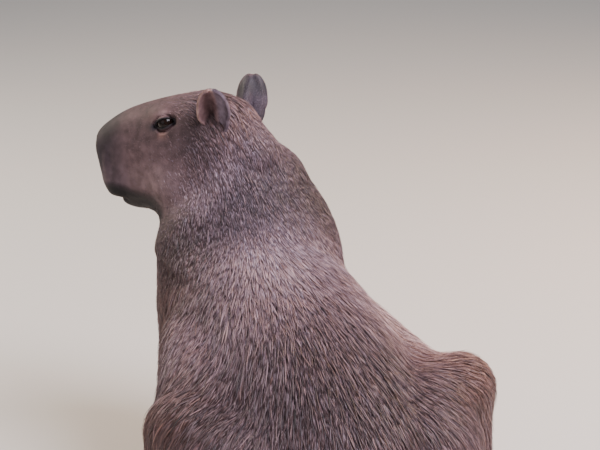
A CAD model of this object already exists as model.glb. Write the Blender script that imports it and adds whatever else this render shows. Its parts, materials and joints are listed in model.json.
# %% [markdown]
# # A sitting capybara
# A large rodent at rest: it sits on its haunches with its forelegs straight and its head turned to
# the left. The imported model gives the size, the seat on the floor and the place of every part. This
# script dresses it with one unbroken skin, wet eyes, hoof-like claws and a bristly coat.

# %% Load the model that is to be dressed
import json
import math

import bmesh
import bpy
import numpy as np
from mathutils import Euler, Matrix, Vector
from mathutils.bvhtree import BVHTree
from mathutils.kdtree import KDTree

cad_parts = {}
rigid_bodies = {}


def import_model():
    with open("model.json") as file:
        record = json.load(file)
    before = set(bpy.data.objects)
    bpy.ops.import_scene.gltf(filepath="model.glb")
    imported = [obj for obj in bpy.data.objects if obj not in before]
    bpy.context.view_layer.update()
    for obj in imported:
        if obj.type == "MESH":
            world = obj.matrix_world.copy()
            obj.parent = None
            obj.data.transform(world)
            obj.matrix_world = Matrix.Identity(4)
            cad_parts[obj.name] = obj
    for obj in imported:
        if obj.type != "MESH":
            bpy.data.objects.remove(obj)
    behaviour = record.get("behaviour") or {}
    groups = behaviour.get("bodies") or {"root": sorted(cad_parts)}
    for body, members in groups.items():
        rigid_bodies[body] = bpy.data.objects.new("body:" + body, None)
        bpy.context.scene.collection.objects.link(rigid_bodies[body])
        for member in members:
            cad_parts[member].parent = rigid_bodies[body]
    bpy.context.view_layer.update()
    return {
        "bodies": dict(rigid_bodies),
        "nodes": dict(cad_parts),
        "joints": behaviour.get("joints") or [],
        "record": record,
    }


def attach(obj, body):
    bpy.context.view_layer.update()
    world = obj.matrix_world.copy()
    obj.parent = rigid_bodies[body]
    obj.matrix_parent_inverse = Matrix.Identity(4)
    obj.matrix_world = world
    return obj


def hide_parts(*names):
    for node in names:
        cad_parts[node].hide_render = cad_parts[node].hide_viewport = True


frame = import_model()

# %% [markdown]
# ## The camera
# A picture's viewpoint has three parts: where the eye stands, where it looks and how long the lens
# is. The animal is seen from behind its left shoulder and from a little above, with a long lens.
# The camera is aimed without any shift, so that it can be carried round the animal later.

# %% Camera
VIEW_ANGLES = (160, 20)
VIEW_DISTANCE = 3.3
LOOK_AT = Vector((0.0, -0.36, 0.315))
PICTURE_WIDTH = 600
SENSOR_WIDTH = 36
LENS_PIXELS = 2040
OFF_CENTRE = (50, 71)


def way_to(azimuth, elevation):
    """The way from the animal to a camera or a lamp, from two angles in degrees."""
    a, e = math.radians(azimuth), math.radians(elevation)
    return Vector((math.sin(a) * math.cos(e), -math.cos(a) * math.cos(e), math.sin(e)))


def add(name, data):
    """Puts data into the scene as an object."""
    obj = bpy.data.objects.new(name, data)
    bpy.context.scene.collection.objects.link(obj)
    return obj


def stand_camera():
    back = way_to(*VIEW_ANGLES)
    right = Vector((0, 0, 1)).cross(back).normalized()
    up = back.cross(right)
    aim = -back + right * (OFF_CENTRE[0] / LENS_PIXELS) + up * (OFF_CENTRE[1] / LENS_PIXELS)
    data = bpy.data.cameras.new("view")
    data.sensor_width = SENSOR_WIDTH
    data.lens = SENSOR_WIDTH * LENS_PIXELS / PICTURE_WIDTH
    camera = add("view", data)
    camera.location = LOOK_AT + back * VIEW_DISTANCE
    camera.rotation_euler = aim.to_track_quat("-Z", "Y").to_euler()
    bpy.context.scene.camera = camera
    return camera


camera = stand_camera()
print("lens, mm:", round(camera.data.lens, 1))

# %% [markdown]
# ## Places on the animal
# Every size below is named once and is the same as in the model. Places are given as forward, left
# and up from the seat. The head has a frame of its own, because it is turned: places on it are
# given as behind the nose, out to the side and above the nose.

# %% Sizes and places
SHOULDER_WIDTH = 0.310
BELLY_WIDTH = 0.368
HEAD_LENGTH = 0.285
MUZZLE_WIDTH = 0.100
CHEEK_WIDTH = 0.158
EYE_RADIUS = 0.0150
EAR_HEIGHT = 0.072
EAR_WIDTH = 0.052
KNEE_HEIGHT = 0.231
KNEE_RADIUS = 0.062
PAW_SPREAD = 0.115
KNEE_SPREAD = {1: 0.214, -1: 0.236}
NOSE = (0.605, 0.165, 0.475)
HEAD_TURN = math.radians(45)
EYE_AT = (0.139, 0.0476, 0.1115)
EYE_LOOKS = (-0.10, 1.0, 0.26)
EAR_AT = {1: (0.231, 0.056, 0.115), -1: (0.240, 0.058, 0.104)}
EAR_LEAN = {1: 0.14, -1: 0.12}
EAR_FORWARD = {1: 0.30, -1: -0.15}
NOSTRIL_AT = (0.004, 0.021, 0.036)
MOUTH_CORNER = 0.062
MOUTH_LEVEL = -0.033
MOUTH_RISE = 0.052
FLOOR_PRESS = 0.004
SIDES = {"left": 1, "right": -1}


def at(forward, left, up):
    """A point given by how far forward, left and up it is."""
    return Vector((left, -forward, up))


def head_frame():
    """Carries the head's own forward, left and up from the nose to where the head is."""
    return Matrix.Translation(at(*NOSE)) @ Matrix.Rotation(HEAD_TURN, 4, "Z")


def in_head(behind, out, above):
    """A place on the head, in the animal's frame."""
    return head_frame() @ at(-behind, out, above)


def smooth_between(rows, t):
    """The row at t, from 0 to 1, on a smooth curve through all the rows."""
    last = len(rows) - 1
    i = min(int(t * last), last - 1)
    s = t * last - i
    p0, p1 = rows[max(i - 1, 0)], rows[i]
    p2, p3 = rows[i + 1], rows[min(i + 2, last)]
    return [
        0.5 * (2 * b + (c - a) * s + (2 * a - 5 * b + 4 * c - d) * s * s + (3 * b - a - 3 * c + d) * s ** 3)
        for a, b, c, d in zip(p0, p1, p2, p3)
    ]


# %% [markdown]
# ## Flesh
# Under the coat are rounded masses: rump, belly, ribs, neck, skull and limbs. Each could be
# sculpted by hand. Here a sphere is drawn out along a few measured rows, so each mass keeps the
# measured widths, and spheres stretched into eggs fill the muscles between them.

# %% Drawn-out spheres and eggs
def tube(bm, rows, sides=28, rings=40, squareness=2.0, frame=Matrix.Identity(4), mirror=1):
    """A closed tapering body: a sphere drawn out along the rows.

    A row is forward, left, up, half width, height above and depth below the middle line. With
    mirror -1 its left is the animal's right.
    """
    rows = [(f, mirror * l, u, *radii) for f, l, u, *radii in rows]
    verts = bmesh.ops.create_uvsphere(bm, u_segments=sides, v_segments=rings, radius=1.0)["verts"]
    step = 1e-3
    power = 2 / squareness
    for v in verts:
        t = math.acos(max(-1.0, min(1.0, v.co.z))) / math.pi
        turn = math.atan2(v.co.y, v.co.x)
        f, l, u, half, above, below = smooth_between(rows, t)
        before = smooth_between(rows, max(t - step, 0))
        after = smooth_between(rows, min(t + step, 1))
        along = (at(*after[:3]) - at(*before[:3])).normalized()
        side = Vector((0, 0, 1)).cross(along)
        if side.length < 0.05:
            side = Vector((-1, 0, 0))
        side.normalize()
        over = along.cross(side)
        c, s = math.cos(turn), math.sin(turn)
        across = math.copysign(abs(c) ** power, c) * half
        rise = math.copysign(abs(s) ** power, s) * (above if s > 0 else below)
        v.co = frame @ (at(f, l, u) + side * across + over * rise)


def limb(bm, rows, mirror=1):
    """A round tube whose rows are forward, left, up and radius."""
    tube(bm, [(f, l, u, r, r, r) for f, l, u, r in rows], 24, 28, mirror=mirror)


def mass(bm, centre, radii, turn=(0, 0, 0), frame=Matrix.Identity(4)):
    """An egg of flesh: radii are half width, half length and half height before it is turned."""
    turned = Euler(turn).to_matrix().to_4x4()
    place = frame @ Matrix.Translation(centre) @ turned @ Matrix.Diagonal((*radii, 1))
    bmesh.ops.create_uvsphere(bm, u_segments=24, v_segments=16, radius=1.0, matrix=place)


# %% Trunk and neck
def trunk(bm):
    """Rump, belly, ribs, shoulders and the thick neck, which swells on the outside of its turn."""
    shoulder, belly = SHOULDER_WIDTH / 2, BELLY_WIDTH / 2
    tube(bm, [
        (-0.135, 0, 0.110, 0.001, 0.001, 0.001), (-0.105, 0, 0.135, 0.095, 0.085, 0.085),
        (-0.050, 0, 0.160, 0.140, 0.120, 0.130), (0.035, 0, 0.190, 0.170, 0.145, 0.170),
        (0.140, 0, 0.228, belly, 0.158, 0.190), (0.250, 0, 0.268, belly * 0.97, 0.155, 0.175),
        (0.345, 0, 0.322, shoulder * 1.03, 0.142, 0.160), (0.405, -0.014, 0.390, shoulder, 0.128, 0.140),
        (0.440, -0.016, 0.450, shoulder * 0.86, 0.120, 0.128),
        (0.452, -0.008, 0.510, shoulder * 0.58, 0.105, 0.105), (0.455, 0.010, 0.580, 0.001, 0.001, 0.001),
    ], sides=36, rings=60)
    mass(bm, at(0.405, 0.006, 0.465), (0.070, 0.078, 0.095), (0.5, 0, 0))
    mass(bm, at(0.420, -0.024, 0.532), (0.056, 0.066, 0.056))
    mass(bm, at(0.425, -0.012, 0.556), (0.052, 0.055, 0.047))
    mass(bm, at(0.482, 0.062, 0.405), (0.050, 0.050, 0.062))
    mass(bm, at(0, 0, 0.080), (0.125, 0.115, 0.080 + FLOOR_PRESS))


# %% Legs
def hind_leg(bm, side):
    """Thigh, knee and shank, folded as the animal sits, and the fold of skin from the flank to the knee."""
    spread, knee = KNEE_SPREAD[side], KNEE_HEIGHT
    limb(bm, [
        (-0.085, 0.050, 0.120, 0.010), (-0.045, 0.090, 0.140, 0.098), (0.010, 0.138, 0.165, 0.108),
        (0.050, 0.180, knee - 0.030, 0.088), (0.068, spread - 0.020, knee - 0.012, 0.068),
        (0.075, spread + 0.030, knee, 0.020),
    ], side)
    mass(bm, at(0.070, side * spread, knee), (KNEE_RADIUS, KNEE_RADIUS, KNEE_RADIUS))
    limb(bm, [
        (0.085, spread, knee + 0.020, 0.015), (0.080, spread, knee - 0.010, 0.054),
        (0.062, spread, 0.150, 0.053), (0.028, spread, 0.085, 0.038),
        (0.004, spread, 0.042, 0.031), (-0.012, spread, 0.012, 0.012),
    ], side)
    limb(bm, [
        (0.310, 0.095, 0.275, 0.010), (0.230, 0.128, 0.254, 0.048), (0.150, 0.163, 0.236, 0.066),
        (0.090, 0.192, 0.216, 0.062), (0.060, spread, knee - 0.010, 0.012),
    ], side)


def flanks(bm):
    """The loose skin of each flank, pushed up where the thigh is folded against it."""
    limb(bm, [
        (0.350, 0.080, 0.320, 0.010), (0.280, 0.115, 0.295, 0.062), (0.200, 0.135, 0.268, 0.075),
        (0.130, 0.155, 0.245, 0.080), (0.085, 0.185, 0.228, 0.066), (0.060, 0.210, 0.215, 0.012),
    ])
    limb(bm, [
        (0.330, 0.090, 0.315, 0.010), (0.260, 0.125, 0.290, 0.054), (0.190, 0.160, 0.262, 0.054),
        (0.130, 0.190, 0.240, 0.048), (0.085, 0.212, 0.228, 0.042), (0.060, 0.225, 0.215, 0.012),
    ], -1)


def foreleg(bm, side):
    """Upper arm, elbow and forearm, straight under the shoulder."""
    limb(bm, [
        (0.410, 0.066, 0.380, 0.010), (0.392, 0.082, 0.330, 0.066), (0.366, 0.096, 0.265, 0.062),
        (0.352, 0.108, 0.205, 0.053), (0.366, PAW_SPREAD, 0.140, 0.042), (0.388, PAW_SPREAD, 0.085, 0.034),
        (0.396, PAW_SPREAD, 0.040, 0.032), (0.398, PAW_SPREAD, 0.008, 0.012),
    ], side)


# %% Feet and toes
def sole(bm, side, spread, rows):
    """A foot that lies flat: rows are forward, out from the leg, up, half width, height and depth."""
    tube(bm, [(f, spread + out, *rest) for f, out, *rest in rows], mirror=side)


def hind_foot(bm, side):
    """The long sole, turned a little outwards."""
    sole(bm, side, KNEE_SPREAD[side], [
        (-0.034, 0, 0.018, 0.010, 0.010, 0.010), (-0.008, 0, 0.022, 0.031, 0.028, 0.022 + FLOOR_PRESS),
        (0.060, 0.008, 0.020, 0.032, 0.026, 0.020 + FLOOR_PRESS),
        (0.120, 0.016, 0.016, 0.037, 0.021, 0.016 + FLOOR_PRESS),
        (0.150, 0.022, 0.012, 0.036, 0.016, 0.012 + FLOOR_PRESS), (0.165, 0.024, 0.010, 0.010, 0.005, 0.008),
    ])


def fore_foot(bm, side):
    """The short round paw under the wrist."""
    sole(bm, side, PAW_SPREAD, [
        (0.366, 0, 0.018, 0.010, 0.010, 0.010), (0.386, 0, 0.022, 0.031, 0.028, 0.022 + FLOOR_PRESS),
        (0.420, 0.004, 0.018, 0.036, 0.024, 0.018 + FLOOR_PRESS),
        (0.442, 0.007, 0.014, 0.037, 0.018, 0.014 + FLOOR_PRESS), (0.458, 0.009, 0.010, 0.010, 0.005, 0.008),
    ])


def toe_plan(end, side):
    """How many toes, where they start, their reach and spacing, and where their fan's middle is."""
    if end == "hind":
        return 3, 0.140, 0.058, 0.024, KNEE_SPREAD[side] + 0.020
    return 4, 0.436, 0.040, 0.019, PAW_SPREAD + 0.007


def toe_fan(side, count, reach, spacing, middle):
    """For each toe: how far left its root and its end lie, and its length."""
    for i in range(count):
        fan = i - (count - 1) / 2
        near = side * middle + fan * spacing
        yield near, near + fan * spacing * 0.45 + side * 0.006, reach - 0.004 * fan * fan


def toes(bm, side, count, start, reach, spacing, middle):
    """Blunt toes, each with room at its end for a hoof-like claw."""
    for near, far, length in toe_fan(side, count, reach, spacing, middle):
        tube(bm, [
            (start - 0.030, near, 0.014, 0.004, 0.004, 0.004),
            (start, near, 0.013, spacing * 0.54, 0.013, 0.013 + FLOOR_PRESS),
            (start + length * 0.35, (near + far) / 2, 0.012, spacing * 0.44, 0.013, 0.012 + FLOOR_PRESS),
            (start + length * 0.62, near * 0.3 + far * 0.7, 0.011, spacing * 0.50, 0.013,
             0.011 + FLOOR_PRESS),
            (start + length * 0.82, far, 0.008, spacing * 0.40, 0.009, 0.008 + FLOOR_PRESS),
            (start + length, far, 0.005, 0.004, 0.004, 0.005 + FLOOR_PRESS),
        ], sides=16, rings=18)


# %% Head
def head(bm):
    """Skull, deep blunt muzzle and jaw, measured back from the nose in the head's own frame."""
    muzzle, cheek = MUZZLE_WIDTH / 2, CHEEK_WIDTH / 2
    profile = [
        (0.000, 0.043, -0.005, 0.002), (0.025, 0.067, -0.028, muzzle * 0.78),
        (0.080, 0.090, -0.038, muzzle * 0.94), (0.170, 0.110, -0.046, muzzle * 1.02),
        (0.280, 0.126, -0.051, muzzle * 1.14), (0.400, 0.139, -0.057, cheek * 0.84),
        (0.520, 0.149, -0.063, cheek * 0.94), (0.650, 0.157, -0.067, cheek),
        (0.770, 0.160, -0.062, cheek * 0.98), (0.870, 0.153, -0.040, cheek * 0.86),
        (0.950, 0.128, -0.012, cheek * 0.60), (1.000, 0.085, 0.030, 0.002),
    ]
    rows = [
        (-share * HEAD_LENGTH, 0, (top + bottom) / 2, half, (top - bottom) / 2, (top - bottom) / 2)
        for share, top, bottom, half in profile
    ]
    tube(bm, rows, sides=36, rings=56, squareness=2.5, frame=head_frame())


def egg_on_head(bm, behind, out, above, radii, turn=(0, 0, 0)):
    mass(bm, at(-behind, out, above), radii, turn, head_frame())


def cheeks(bm):
    """The broader swellings of the face: nose, lip pads, chin, brows and the jaw muscle."""
    egg_on_head(bm, 0.014, 0, 0.036, (0.034, 0.015, 0.022))
    egg_on_head(bm, 0.066, 0, -0.039, (0.030, 0.034, 0.014))
    for side in (1, -1):
        egg_on_head(bm, 0.043, side * 0.024, 0.000, (0.028, 0.036, 0.034))
        egg_on_head(bm, 0.137, side * 0.042, 0.1265, (0.020, 0.034, 0.013), (0.12, side * 0.5, 0))
        egg_on_head(bm, 0.165, side * 0.048, 0.012, (0.036, 0.055, 0.050))


# %% [markdown]
# ## One skin
# On the animal one skin runs over all of it. The masses overlap, so they are melted together by a
# voxel remesh, which wraps the whole in even small squares, and then smoothed like clay. The
# toes join in a second, finer melt, so that the smoothing doesn't rub them away.

# %% Melt the flesh into one skin
FLESH_VOXEL = 0.006
FLESH_SMOOTHING = 24
SKIN_VOXEL = 0.0036
SKIN_SMOOTHING = 3
COAT_DEPTH = 0.0060
FACE_EDGE = 0.200
SOLE_HEIGHT = 0.05


def new_object(name, bm, smooth=True):
    """Puts what has been built into the scene under a name."""
    bmesh.ops.recalc_face_normals(bm, faces=bm.faces)
    mesh = bpy.data.meshes.new(name)
    bm.to_mesh(mesh)
    bm.free()
    if smooth:
        mesh.shade_smooth()
    return add(name, mesh)


def modify(obj, kind, **settings):
    """Gives an object a modifier."""
    made = obj.modifiers.new(kind.lower(), kind)
    for key, value in settings.items():
        setattr(made, key, value)


def settle(obj):
    """Makes the outcome of an object's modifiers its own mesh."""
    bpy.context.view_layer.update()
    shape = obj.evaluated_get(bpy.context.evaluated_depsgraph_get())
    mesh = bpy.data.meshes.new_from_object(shape)
    obj.modifiers.clear()
    obj.data = mesh
    return obj


def fuse(obj, voxel, smoothing):
    """Melts overlapping forms into one skin and softens where they meet."""
    modify(obj, "REMESH", mode="VOXEL", voxel_size=voxel)
    modify(obj, "SMOOTH", factor=0.5, iterations=smoothing)
    return settle(obj)


def numbers_of(items, name, width, kind=float):
    """One property of all the items of a mesh, as the rows of an array."""
    values = np.empty(len(items) * width, dtype=kind)
    items.foreach_get(name, values)
    return values.reshape(-1, width)


def points_of(mesh):
    """A mesh's points and their normals."""
    return numbers_of(mesh.vertices, "co", 3), numbers_of(mesh.vertex_normals, "vector", 3)


def set_points(obj, co):
    obj.data.vertices.foreach_set("co", co.ravel())
    obj.data.update()


def to_head(points):
    """Places as behind the nose, out to the left and above the nose."""
    back = np.array(head_frame().inverted())
    local = points @ back[:3, :3].T + back[:3, 3]
    return local[:, 1], local[:, 0], local[:, 2]


def step_up(value, low, high):
    """0 below low, 1 above high and smooth between them."""
    t = np.clip((value - low) / (high - low), 0, 1)
    return t * t * (3 - 2 * t)


def draw_in(obj, depth):
    """Draws the skin in by the depth of the coat, where the coat is long."""
    co, normal = points_of(obj.data)
    behind, out, above = to_head(co)
    off_face = np.where(above > -0.09, step_up(behind, FACE_EDGE, FACE_EDGE + 0.10), 1)
    off_floor = np.clip(co[:, 2] / SOLE_HEIGHT - 1, 0, 1)
    co -= normal * (depth * off_face * off_floor)[:, None]
    set_points(obj, co)


def make_skin():
    bm = bmesh.new()
    trunk(bm)
    flanks(bm)
    head(bm)
    cheeks(bm)
    for side in (1, -1):
        hind_leg(bm, side)
        foreleg(bm, side)
        hind_foot(bm, side)
        fore_foot(bm, side)
    flesh = fuse(new_object("flesh", bm), FLESH_VOXEL, FLESH_SMOOTHING)
    draw_in(flesh, COAT_DEPTH)
    bm = bmesh.new()
    for side in (1, -1):
        for end in ("hind", "front"):
            toes(bm, side, *toe_plan(end, side))
    bm.from_mesh(flesh.data)
    bpy.data.objects.remove(flesh)
    return fuse(new_object("skin", bm), SKIN_VOXEL, SKIN_SMOOTHING)


skin = make_skin()
print("skin, points:", len(skin.data.vertices))

# %% [markdown]
# ## Thin where it is hidden, fine where it is seen
# A sculptor spends clay where people look. The trunk's skin lies under the coat, so it is thinned,
# while the face is divided again and again before its folds are pressed in. Dividing everything
# would cost ten times as many faces for the same picture.

# %% Thin the trunk and divide the face
TRUNK_KEPT = 0.30
EYE_REGION = 0.034


def thin_trunk(obj):
    co, _ = points_of(obj.data)
    behind, out, above = to_head(co)
    head_part = (behind < 0.23) & (above > -0.10) & (abs(out) < 0.12)
    foot_part = co[:, 2] < 0.06
    group = obj.vertex_groups.new(name="coarse")
    group.add([int(i) for i in np.nonzero(~(head_part | foot_part))[0]], 1.0, "REPLACE")
    modify(obj, "DECIMATE", ratio=TRUNK_KEPT, vertex_group="coarse")
    settle(obj)
    obj.vertex_groups.clear()


def divide_where(obj, inside, soften):
    """Divides every edge whose two ends are inside, and rounds what was divided."""
    co, _ = points_of(obj.data)
    chosen = inside(*to_head(co))
    bm = bmesh.new()
    bm.from_mesh(obj.data)
    bm.verts.ensure_lookup_table()
    edges = [e for e in bm.edges if chosen[e.verts[0].index] and chosen[e.verts[1].index]]
    fresh = bmesh.ops.subdivide_edges(bm, edges=edges, cuts=1, use_grid_fill=True)["geom_inner"]
    old = {v for e in edges if e.is_valid for v in e.verts}
    verts = list(old | {v for v in fresh if isinstance(v, bmesh.types.BMVert)})
    for _ in range(soften):
        bmesh.ops.smooth_vert(bm, verts=verts, factor=0.5, use_axis_x=True, use_axis_y=True, use_axis_z=True)
    bm.to_mesh(obj.data)
    bm.free()
    obj.data.update()


def whole_face(behind, out, above):
    return (behind < 0.20) & (above > -0.085) & (abs(out) < 0.11)


def fine_face(behind, out, above):
    near_eye = np.linalg.norm(np.stack([behind, abs(out), above], 1) - np.array(EYE_AT), axis=1) < EYE_REGION
    on_nose = (behind < 0.022) & (above > -0.01)
    on_lips = (behind < MOUTH_CORNER + 0.01) & (abs(above + 0.040) < 0.016)
    return near_eye | on_nose | on_lips


thin_trunk(skin)
divide_where(skin, whole_face, 2)
divide_where(skin, fine_face, 2)
print("skin, points after dividing:", len(skin.data.vertices))

# %% [markdown]
# ## The face
# The mouth is a line that runs back from under the nose, the nostrils are slits set wide apart, and
# the eye lies high under a brow. These could be carved with a sculpting brush. A brush stroke here
# is a short formula: how deep it presses at each place, fading out around it.

# %% Press in the mouth, the nostrils and the folds of the face
def bump(distance, width):
    return np.exp(-(distance / width) ** 2)


def mouth_level(behind, wide):
    """How high the mouth line runs: it falls towards the back and turns up at its corners."""
    return MOUTH_LEVEL - 0.10 * behind + MOUTH_RISE * (wide / MUZZLE_WIDTH) ** 2


def sculpt_face(obj):
    co, normal = points_of(obj.data)
    behind, out, above = to_head(co)
    wide = abs(out)
    face = (behind < 0.21) & (above > -0.10) & (wide < 0.12)
    raised = np.zeros(len(co))
    level = mouth_level(behind, wide)
    on_mouth = 1 - step_up(behind, MOUTH_CORNER - 0.014, MOUTH_CORNER)
    raised -= 0.0050 * on_mouth * bump(above - level, 0.0022)
    raised += 0.0016 * on_mouth * bump(above - level - 0.0065, 0.0045)
    raised += 0.0010 * on_mouth * bump(above - level + 0.0060, 0.0040)
    front = behind < 0.030
    split = front * step_up(above, level, level + 0.004) * (1 - step_up(above, 0.012, 0.026))
    raised -= 0.0030 * split * bump(out, 0.0016)
    across = wide - NOSTRIL_AT[1]
    upward = above - NOSTRIL_AT[2]
    slit_along = 0.80 * across + 0.60 * upward
    slit_over = -0.60 * across + 0.80 * upward + 14 * slit_along ** 2
    hole = (slit_along / 0.0090) ** 2 + (slit_over / 0.0032) ** 2
    raised -= front * 0.0075 * np.exp(-hole)
    rim = (slit_along / 0.0125) ** 2 + (slit_over / 0.0064) ** 2
    raised += front * 0.0016 * (np.exp(-rim) - np.exp(-2.2 * rim))
    raised += 0.0012 * bump(behind - 0.024, 0.005) * bump(above - 0.030, 0.016) * (wide < 0.05)
    raised -= 0.0012 * bump(behind - 0.034, 0.006) * bump(above - 0.034, 0.022) * (wide > 0.015)
    crease = behind - 0.060 - 0.35 * (above + 0.005)
    raised -= 0.0014 * bump(crease, 0.007) * bump(above - 0.004, 0.022) * (wide > 0.03)
    jaw = above + 0.030 - 0.10 * (behind - 0.06)
    raised -= 0.0012 * bump(jaw, 0.006) * bump(behind - 0.095, 0.028)
    co += normal * (raised * face)[:, None]
    set_points(obj, co)


sculpt_face(skin)

# %% [markdown]
# ## Round the eyes
# An eye is a wet ball that is seen through an almond-shaped opening, and the lids are folds of skin
# that lie on the ball. The lids could be separate strips. Here the skin itself is laid on the ball
# round the opening and let drop behind it inside the opening, so that no seam can show.

# %% Lay the lids on the eyeballs
OPEN_HALF_LENGTH = 0.0142
OPEN_UP = 0.0056
OPEN_DOWN = 0.0070
LID_THICK = 0.0011


def eye_axes(side):
    """The eyeball's middle, and its ways outward, forward along the lids and upward."""
    middle = in_head(EYE_AT[0], side * EYE_AT[1], EYE_AT[2])
    turn = head_frame().to_3x3()
    outward = (turn @ at(EYE_LOOKS[0], side * EYE_LOOKS[1], EYE_LOOKS[2])).normalized()
    forward = (turn @ at(1.0, 0, -0.16))
    forward = (forward - outward * forward.dot(outward)).normalized()
    upward = outward.cross(forward) * side
    if upward.z < 0:
        upward.negate()
    return middle, outward, forward, upward


def round_eye(points, side):
    """How far forward of, above and outside an eyeball's middle each point lies, seen along its gaze."""
    middle, outward, forward, upward = (np.array(way) for way in eye_axes(side))
    rel = points - middle
    return rel @ forward, rel @ upward, rel @ outward


def opening(u):
    """The upper and the lower edge of the opening at u along the lids, forward counted positive."""
    share = np.clip(u / OPEN_HALF_LENGTH, -1, 1)
    arch = np.sqrt(np.clip(1 - share ** 2, 0, 1))
    tilt = -0.0018 * share
    upper = OPEN_UP * arch ** 0.8 * (1 - 0.12 * share) + tilt
    lower = -OPEN_DOWN * arch ** 1.25 * (1 + 0.18 * share) + tilt
    return upper, lower


def lay_lids(obj):
    co, _ = points_of(obj.data)
    for side in (1, -1):
        u, v, w = round_eye(co, side)
        far = np.hypot(u, v)
        near = (w > -0.012) & (far < EYE_REGION)
        upper, lower = opening(u)
        ball = np.sqrt(np.clip(EYE_RADIUS ** 2 - far ** 2, 0, None))
        centre, half = (upper + lower) / 2, np.maximum((upper - lower) / 2, 1e-5)
        over = np.abs(v - centre) - half
        beyond = np.maximum(np.abs(u) - OPEN_HALF_LENGTH, 0)
        gap = np.where(beyond > 0, np.hypot(beyond, np.maximum(over, 0)), over)
        hold = 1 - step_up(gap, 0.0026, 0.0130)
        fold = LID_THICK + 0.0016 * step_up(gap, 0.0, 0.0030)
        fold = fold + 0.0012 * (v > centre) * bump(gap - 0.002, 0.002)
        fold = fold - 0.0024 * bump(gap - 0.0064, 0.0013) + 0.0020 * bump(gap - 0.0092, 0.0024) * (v > 0)
        fold = fold - 0.0014 * bump(gap - 0.0055, 0.0012) * (v < 0)
        trough = bump(u - OPEN_HALF_LENGTH - 0.0035, 0.0050)
        trough = trough * bump(v + 0.0040 + 0.35 * (u - OPEN_HALF_LENGTH), 0.0016)
        fold = fold - 0.0022 * trough
        lid = np.maximum(np.where(far < EYE_RADIUS * 0.96, ball, EYE_RADIUS * 0.28) + fold, 0)
        shift = np.where(gap < 0, ball - 0.0030 - w, (lid - w) * hold) * near
        co += shift[:, None] * np.array(eye_axes(side)[1])
    set_points(obj, co)


lay_lids(skin)
print("skin done, points:", len(skin.data.vertices))

# %% [markdown]
# ## Eyeballs
# The eye is a dark brown ball whose front swells into a wet bulge, the cornea. A plain ball would
# look dead, because its highlight would be large and dull. So the front of each ball is raised to
# the cornea's steeper curve, which gathers the lamps into one small bright spot.

# %% Eyeballs
CORNEA_RADIUS = 0.0125
CORNEA_FORWARD = 0.0034


def make_eye(word):
    side = SIDES[word]
    middle, outward, forward, upward = eye_axes(side)
    turn = Matrix((forward, upward, outward)).transposed().to_4x4()
    bm = bmesh.new()
    bmesh.ops.create_uvsphere(bm, u_segments=64, v_segments=48, radius=EYE_RADIUS)
    for v in bm.verts:
        bulge = CORNEA_FORWARD + math.sqrt(max(CORNEA_RADIUS ** 2 - v.co.x ** 2 - v.co.y ** 2, 0))
        if v.co.z > 0 and bulge > v.co.z:
            v.co.z = bulge
    bmesh.ops.transform(bm, matrix=Matrix.Translation(middle) @ turn, verts=bm.verts)
    return new_object("eyeball_" + word, bm)


eyes = {word: make_eye(word) for word in SIDES}
print("eyeball, mm across:", EYE_RADIUS * 2000)

# %% [markdown]
# ## Ears
# The ears are small round cups of thick skin. The hollow lies close behind the rolled front rim, the
# back part is a flatter flap, and there is a notch low on its edge. A flat leaf given a thickness
# would look like paper. So a grid is bent into a cup, thickened most along its rim, and rounded.

# %% Ears
EAR_THICKNESS = 0.0062
EAR_DEPTH = 0.024
EAR_RISE = EAR_HEIGHT * 1.12
EAR_SUNK = 0.12
EAR_HOLLOW_SHARE = 0.55


def ear_place(side):
    """Carries an ear's own outward, backward and up from its stalk to the head."""
    behind, out, above = EAR_AT[side]
    turn = Euler((0.05, side * EAR_LEAN[side], side * EAR_FORWARD[side])).to_matrix().to_4x4()
    return head_frame() @ Matrix.Translation(at(-behind, side * out, above)) @ turn


def ear_fullness(up):
    """The square of the share of its full width that the ear has at a height from 0 to 1."""
    return 1 - (abs(up - 0.38) / 0.625) ** 2.7


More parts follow.
